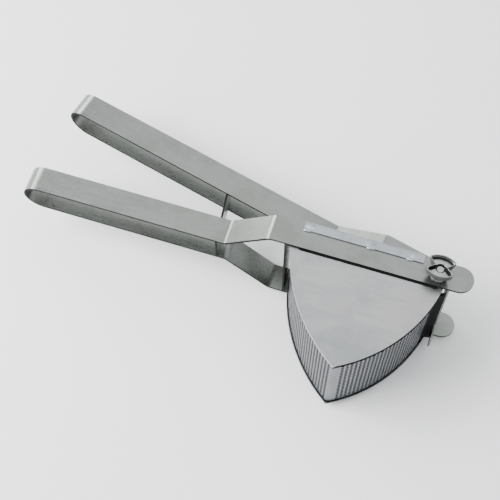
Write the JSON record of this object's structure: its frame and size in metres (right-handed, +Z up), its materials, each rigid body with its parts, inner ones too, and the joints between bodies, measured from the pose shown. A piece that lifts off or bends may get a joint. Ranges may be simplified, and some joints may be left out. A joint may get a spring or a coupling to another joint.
{
  "type": "potato ricer",
  "caption": "Hand press for boiled potato: two hinged loop handles of flat steel strap, a curved wedge-shaped pusher and a three-cornered basket with perforated curved walls.",
  "frame": {"origin": "middle of the bounding box in plan, on the level of the lowest face (the bolt head), with the ricer lying on its side", "axes": "+X from the handle loops towards the pivot bolt, -Y towards the point of the basket, +Z up along the pivot bolt to the wing nut"},
  "size_m": [0.41, 0.206, 0.1258],
  "materials": {
    "strap_steel": "satin, rolled along the strap, lightly scratched",
    "sheet_steel": "satin sheet, faint grain",
    "perforated_steel": "satin sheet with round holes",
    "bright_steel": "polished"
  },
  "bodies": {
    "basket_half": {"basket_handle_strap": "strap_steel", "basket_top_plate": "sheet_steel", "basket_bottom_plate": "sheet_steel", "basket_perforated_wall": "perforated_steel", "frame_spacer_plate": "strap_steel", "pan_rest_plate": "strap_steel", "handle_guide_plate": "strap_steel", "pivot_bolt": "bright_steel", "pivot_sleeve": "bright_steel", "pivot_washer": "bright_steel"},
    "press_half": {"press_handle_strap": "strap_steel", "pusher_face": "sheet_steel", "pusher_top_web": "sheet_steel", "pusher_bottom_web": "sheet_steel", "pusher_rib_1": "sheet_steel", "pusher_rib_2": "sheet_steel"},
    "clamp_nut": {"wing_nut": "bright_steel"}
  },
  "joints": [
    {"name": "press_hinge", "type": "hinge", "parent": "basket_half", "child": "press_half", "pos_m": [0.175, 0.0023, 0.0573], "axis": [0, 0, 1], "range_deg": [-68, 6]},
    {"name": "wing_nut_turn", "type": "hinge", "parent": "basket_half", "child": "clamp_nut", "pos_m": [0.175, 0.0023, 0.1173], "axis": [0, 0, 1], "continuous": true}
  ]
}
